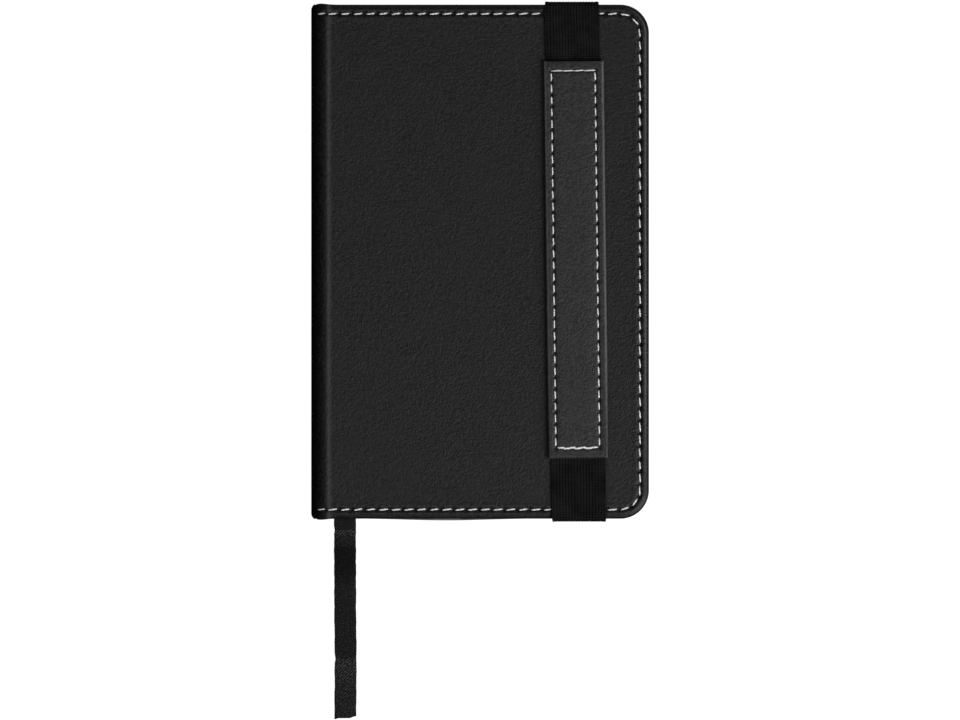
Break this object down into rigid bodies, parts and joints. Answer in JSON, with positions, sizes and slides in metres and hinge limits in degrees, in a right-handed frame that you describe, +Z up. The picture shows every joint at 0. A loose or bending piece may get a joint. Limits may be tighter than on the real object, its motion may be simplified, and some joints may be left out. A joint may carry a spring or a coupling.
{
  "type": "pocket notebook",
  "caption": "Casebound pocket notebook with stitched leatherette covers, sewn pages, an elastic closure strap with a leatherette panel, and a ribbon marker.",
  "frame": {"origin": "under the middle of the covers, on the surface that the notebook lies on, measured without the ribbon's free end", "axes": "+X from the spine to the fore-edge, +Y from the tail to the head, +Z up through the front cover"},
  "size_m": [0.092, 0.1952, 0.0173],
  "materials": {
    "cover_leatherette": "fine-grained black leatherette, semi-matt",
    "panel_leatherette": "fine-grained charcoal leatherette, semi-matt",
    "greyboard": "raw grey bookbinding board",
    "endpaper": "ivory endpaper",
    "page_paper": "ivory writing paper with faint ruled lines",
    "white_thread": "twisted white stitching thread",
    "book_thread": "linen sewing thread",
    "spine_cloth": "open-weave spine cloth",
    "band_cloth": "black woven head band",
    "elastic_webbing": "black ribbed elastic webbing",
    "ribbon_satin": "black woven ribbon, slight sheen"
  },
  "bodies": {
    "book_block": {"spine_cover": "cover_leatherette", "spine_stiffener": "greyboard", "spine_cloth": "spine_cloth", "head_band": "band_cloth", "tail_band": "band_cloth", "sewing_thread": "book_thread", "signature_04": "page_paper", "signature_05": "page_paper", "signature_06": "page_paper", "signature_07": "page_paper", "signature_08": "page_paper", "signature_09": "page_paper", "signature_10": "page_paper", "signature_11": "page_paper", "signature_12": "page_paper", "back_flyleaf": "endpaper", "ribbon_marker": "ribbon_satin"},
    "front_cover": {"front_cover_skin": "cover_leatherette", "front_board": "greyboard", "front_pastedown": "endpaper", "front_stitching": "white_thread"},
    "front_pages": {"front_flyleaf": "endpaper", "signature_01": "page_paper", "signature_02": "page_paper", "signature_03": "page_paper", "front_sewing_thread": "book_thread"},
    "back_cover": {"back_cover_skin": "cover_leatherette", "back_board": "greyboard", "back_pastedown": "endpaper", "back_stitching": "white_thread"},
    "closure_strap": {"elastic_band": "elastic_webbing", "strap_panel": "panel_leatherette", "strap_panel_card": "greyboard", "strap_stitching": "white_thread"},
    "ribbon_end": {"ribbon_tail": "ribbon_satin"}
  },
  "joints": [
    {"name": "front_cover_hinge", "type": "hinge", "parent": "book_block", "child": "front_cover", "pos_m": [-0.04615, 0, 0.01282], "axis": [0, -1, 0], "range_deg": [0, 179]},
    {"name": "front_pages_turn", "type": "hinge", "parent": "book_block", "child": "front_pages", "pos_m": [-0.0447, 0, 0.0128], "axis": [0, -1, 0], "range_deg": [0, 175]},
    {"name": "back_cover_hinge", "type": "hinge", "parent": "book_block", "child": "back_cover", "pos_m": [-0.04615, 0, 0.00243], "axis": [0, 1, 0], "range_deg": [0, 179]},
    {"name": "strap_pull", "type": "slide", "parent": "back_cover", "child": "closure_strap", "axis": [1, 0, 0], "range_m": [0, 0.034], "stiffness_N_per_m": 60, "deforming": ["elastic_band", "strap_panel", "strap_panel_card", "strap_stitching"]},
    {"name": "ribbon_lift", "type": "hinge", "parent": "book_block", "child": "ribbon_end", "pos_m": [-0.0368, -0.0708, 0.00997], "axis": [-1, 0, 0], "range_deg": [0, 90]}
  ],
  "couplings": [
    {"joint": "front_pages_turn", "follows": "front_cover_hinge", "ratio": 0.97}
  ]
}
